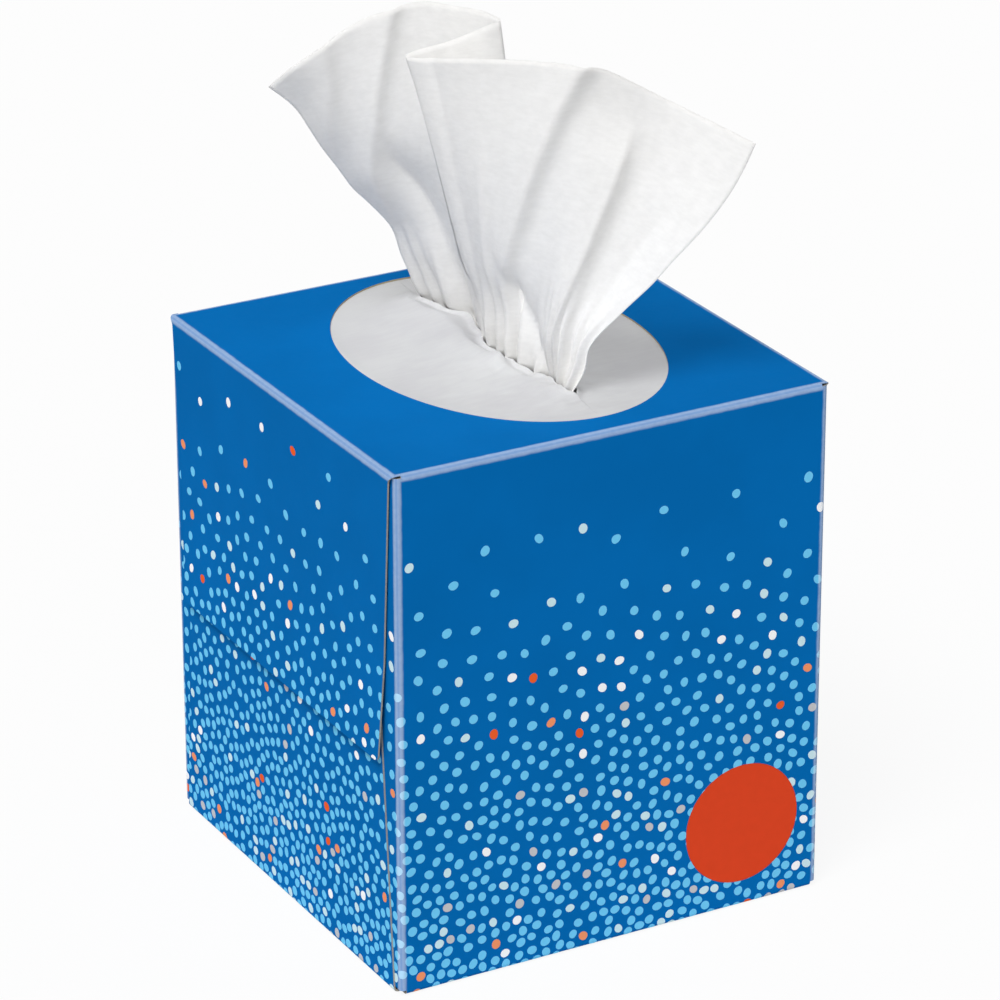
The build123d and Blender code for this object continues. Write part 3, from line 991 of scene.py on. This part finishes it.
def lipPlaces(y, points, setup):
    # how far the tissue reaches to the left and right of the slit, smoothed along it
    low, high = setup["tissueLevels"]
    near = points.reshape(-1, 3)
    near = near[(near[:, 2] > low) & (near[:, 2] < high)]
    middleX, middleY = setup["middle"]
    # shut past the tissue's own margins, and at the slit's ends
    past, over = setup["shutReach"]
    inside = np.minimum(y - near[:, 1].min(), near[:, 1].max() - y)
    shut = np.clip((inside + past) / over, 0, 1)
    shut = shut * np.clip((setup["slitLength"] / 2 - np.abs(y - middleY)) / setup["slitEase"], 0, 1)
    sides = []
    for sign in (-1, 1):
        reach = np.full(len(y), setup["leastReach"])
        for place, at in enumerate(y):
            close = near[np.abs(near[:, 1] - at) < setup["tissueNear"]]
            if len(close):
                reach[place] = (sign * (close[:, 0] - middleX)).max() + setup["clearance"]
        smooth = np.convolve(np.pad(reach, 4, mode="edge"), np.ones(9) / 9, "valid")
        reach = setup["lipSmooth"] * smooth + (1 - setup["lipSmooth"]) * reach + setup["leastReach"]
        sides.append(reach * shut)
    return sides


def leftTent(x, y, far, ridgeAt, ridge, lip, setup):
    # down from the ridge to the lip on one side, and away to the rim on the other
    length, power = setup["slope"]
    past = far - ridgeAt
    if past > 0:
        tent = ridge * math.exp(-(past / length) ** power)
    else:
        tent = ridge + (lip - ridge) * eased(-past / max(ridgeAt, 0.5))
    for peakX, peakY, high, wide in setup["peaks"]:
        reach = math.hypot(x - setup["middle"][0] - peakX, (y - peakY) * setup["peakStretch"]) / wide
        tent += high * math.exp(-reach ** setup["peakFall"])
    return tent


def filmCreases(spot, setup):
    # long soft wrinkles everywhere, and crumples beside the near end of the slit
    ripple = noise.noise(Vector((spot.x * 0.045, spot.y * 0.10, spot.z)))
    broad = noise.noise(Vector((spot.x * 0.20, spot.y * 0.26, spot.z + 9)))
    fine = noise.noise(Vector((spot.x * 0.5, spot.y * 0.6, spot.z + 4)))
    at, reach = setup["crumpleAt"]
    near = math.exp(-math.hypot(spot.x - setup["middle"][0], spot.y - at) / reach)
    return setup["wrinkle"] * ripple + setup["crumple"] * (broad + 0.5 * fine) * near


def filmSide(side, sign, y, lip, setup):
    # one side of the film: columns away from the slit, rows along it
    middleX, middleY = setup["middle"]
    t = np.linspace(0, 1, setup["columns"] + 1)[:, None] ** setup["crowding"]
    away = t * setup["size"][0] / 2
    x = middleX + sign * (away + lip[None] * (1 - t) ** setup["lipFade"])
    z = np.empty_like(x)
    table = np.array(setup["lips"])
    curves = [smoothThrough(table[:, 0], table[:, column], y) for column in (1, 2, 3, 4)]
    upHigh, upWide = setup["upturn"]
    upEnd, upEase = setup["upturnEnd"]
    length, power = setup["slope"]
    for row, along in enumerate(y):
        ridgeAt, ridge, leftLip, rightLip = (curve[row] for curve in curves)
        shut = min(max((upEnd - abs(along - middleY)) / upEase, 0), 1)
        for column, far in enumerate(away[:, 0]):
            spot = Vector((x[column, row], along, 17.0 * side + setup["seed"]))
            fromX, fromY = (spot.x - middleX) / setup["opening"][0], (along - middleY) / setup["opening"][1]
            rim = eased((1 - 2 * math.hypot(fromX, fromY)) / setup["rimShare"])
            if side == 0:
                tent = leftTent(spot.x, along, far, ridgeAt, ridge, leftLip, setup)
            else:
                tent = rightLip * math.exp(-(far / length) ** power)
            tent += upHigh * shut * math.exp(-(far / upWide) ** 2)
            z[column, row] = setup["level"] + rim * (tent + filmCreases(spot, setup) - setup["sag"])
    return np.dstack([x, np.broadcast_to(y, x.shape), z])


def makeFilm(setup, points):
    y = np.linspace(-setup["size"][1] / 2, setup["size"][1] / 2, setup["rows"] + 1)
    left, right = lipPlaces(y, points, setup)
    grids = [filmSide(0, -1, y, left, setup).reshape(-1, 3), filmSide(1, 1, y, right, setup).reshape(-1, 3)]
    # the left side's faces are turned over, so that both sides face up
    faces = [face[::-1] for face in gridFaces(setup["columns"], setup["rows"])]
    faces += gridFaces(setup["columns"], setup["rows"], len(grids[0]))
    mesh = bpy.data.meshes.new("windowFilm")
    mesh.from_pydata((np.concatenate(grids) * mm).tolist(), [], faces)
    # the two sides are one sheet beyond the ends of the slit
    shape = bmesh.new()
    shape.from_mesh(mesh)
    bmesh.ops.remove_doubles(shape, verts=shape.verts, dist=0.02 * mm)
    shape.to_mesh(mesh)
    shape.free()
    mesh.materials.append(makeFilmMaterial(setup))
    mesh.shade_smooth()
    thing = addThing("windowFilm", mesh)
    thicken(thing, setup["thickness"])
    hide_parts("window_film")
    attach(thing, "root")


def makeFilmMaterial(setup):
    material, tree, shader = newMaterial("hazyFilm", 0.42, 0.3)
    shader.inputs["Alpha"].default_value = setup["alpha"]
    place = objectPlace(tree)
    cloudy = speckle(tree, place, 38.0, 3.0, 0.6)
    stretched = addNode(tree, "ShaderNodeMapping", {"Vector": place, "Scale": (160, 700, 300)}).outputs[0]
    drawn = speckle(tree, stretched, 1.0, 3.0, 0.6)
    tone = plus(tree, times(tree, cloudy, 0.6), times(tree, drawn, 0.4))
    tint(tree, shader, fade(tree, tone, 0.35, 0.65), setup["tones"])
    tree.links.new(fade(tree, drawn, 0.3, 0.7, 0.36, 0.5), shader.inputs["Roughness"])
    addBump(tree, shader, drawn, 0.1, 0.00004)
    return material


makeFilm(film, tissuePoints)
print("film lies round the tissue")
